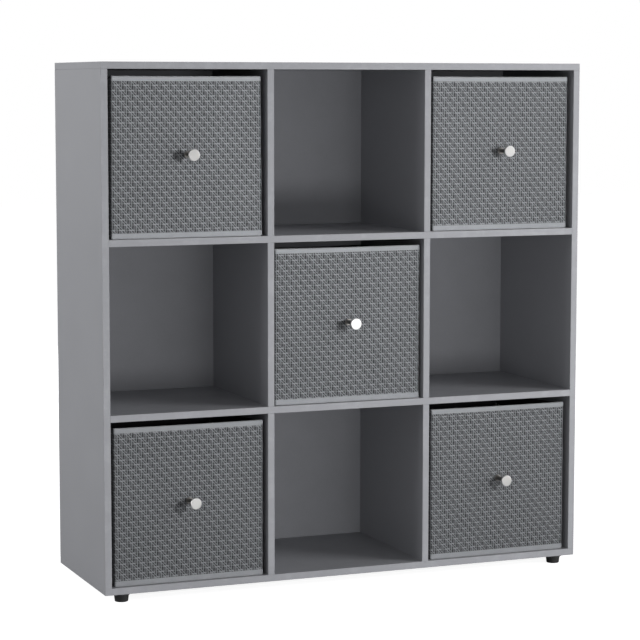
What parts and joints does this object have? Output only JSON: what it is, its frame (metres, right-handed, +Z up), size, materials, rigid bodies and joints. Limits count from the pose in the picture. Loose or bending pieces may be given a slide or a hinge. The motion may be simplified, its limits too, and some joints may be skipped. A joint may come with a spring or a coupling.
{
  "type": "cube storage unit",
  "caption": "Freestanding square storage unit of boards, divided into equal open cubes, with loose fabric drawers that slide out by a round knob, on low round feet.",
  "frame": {"origin": "on the floor, under the middle of the overall box of the unit with its drawers in place and their knobs included", "axes": "+X to the right seen from the front, +Y to the back, towards the wall, +Z up"},
  "size_m": [0.906, 0.3188, 0.924],
  "materials": {
    "grey_board": "matt grey melamine foil on particle board, with matching edge band",
    "back_board": "thin hardboard, matt grey on the front",
    "foot_plastic": "black moulded plastic",
    "steel_fittings": "zinc plated",
    "dowel_wood": "plain beech",
    "drawer_cloth": "black spunbond cloth",
    "drawer_board": "grey-brown stiffening board",
    "patterned_cloth": "woven cloth with a small staggered rosette pattern, light grey on dark grey",
    "band_cloth": "plain grey tape",
    "knob_metal": "satin nickel"
  },
  "bodies": {
    "cabinet": {"top_board": "grey_board", "bottom_board": "grey_board", "left_side": "grey_board", "right_side": "grey_board", "lower_shelf": "grey_board", "upper_shelf": "grey_board", "divider_bottom_left": "grey_board", "divider_bottom_right": "grey_board", "divider_middle_left": "grey_board", "divider_middle_right": "grey_board", "divider_top_left": "grey_board", "divider_top_right": "grey_board", "back_panel": "back_board", "foot_front_left": "foot_plastic", "foot_front_right": "foot_plastic", "foot_rear_left": "foot_plastic", "foot_rear_right": "foot_plastic", "foot_screws": "steel_fittings", "divider_dowels": "dowel_wood", "cam_locks": "steel_fittings", "cam_bolts": "steel_fittings", "back_pins": "steel_fittings"},
    "bottom_left_drawer": {"bottom_left_drawer_box": "drawer_cloth", "bottom_left_drawer_wall_boards": "drawer_board", "bottom_left_drawer_base_board": "drawer_board", "bottom_left_drawer_front_cover": "patterned_cloth", "bottom_left_drawer_front_bands": "band_cloth", "bottom_left_drawer_knob": "knob_metal", "bottom_left_drawer_knob_screw": "steel_fittings"},
    "bottom_right_drawer": {"bottom_right_drawer_box": "drawer_cloth", "bottom_right_drawer_wall_boards": "drawer_board", "bottom_right_drawer_base_board": "drawer_board", "bottom_right_drawer_front_cover": "patterned_cloth", "bottom_right_drawer_front_bands": "band_cloth", "bottom_right_drawer_knob": "knob_metal", "bottom_right_drawer_knob_screw": "steel_fittings"},
    "centre_drawer": {"centre_drawer_box": "drawer_cloth", "centre_drawer_wall_boards": "drawer_board", "centre_drawer_base_board": "drawer_board", "centre_drawer_front_cover": "patterned_cloth", "centre_drawer_front_bands": "band_cloth", "centre_drawer_knob": "knob_metal", "centre_drawer_knob_screw": "steel_fittings"},
    "top_left_drawer": {"top_left_drawer_box": "drawer_cloth", "top_left_drawer_wall_boards": "drawer_board", "top_left_drawer_base_board": "drawer_board", "top_left_drawer_front_cover": "patterned_cloth", "top_left_drawer_front_bands": "band_cloth", "top_left_drawer_knob": "knob_metal", "top_left_drawer_knob_screw": "steel_fittings"},
    "top_right_drawer": {"top_right_drawer_box": "drawer_cloth", "top_right_drawer_wall_boards": "drawer_board", "top_right_drawer_base_board": "drawer_board", "top_right_drawer_front_cover": "patterned_cloth", "top_right_drawer_front_bands": "band_cloth", "top_right_drawer_knob": "knob_metal", "top_right_drawer_knob_screw": "steel_fittings"}
  },
  "joints": [
    {"name": "bottom_left_drawer_slide", "type": "slide", "parent": "cabinet", "child": "bottom_left_drawer", "axis": [0, -1, 0], "range_m": [-0.013, 0.25]},
    {"name": "bottom_right_drawer_slide", "type": "slide", "parent": "cabinet", "child": "bottom_right_drawer", "axis": [0, -1, 0], "range_m": [-0.013, 0.25]},
    {"name": "centre_drawer_slide", "type": "slide", "parent": "cabinet", "child": "centre_drawer", "axis": [0, -1, 0], "range_m": [-0.013, 0.25]},
    {"name": "top_left_drawer_slide", "type": "slide", "parent": "cabinet", "child": "top_left_drawer", "axis": [0, -1, 0], "range_m": [-0.013, 0.25]},
    {"name": "top_right_drawer_slide", "type": "slide", "parent": "cabinet", "child": "top_right_drawer", "axis": [0, -1, 0], "range_m": [-0.013, 0.25]}
  ]
}
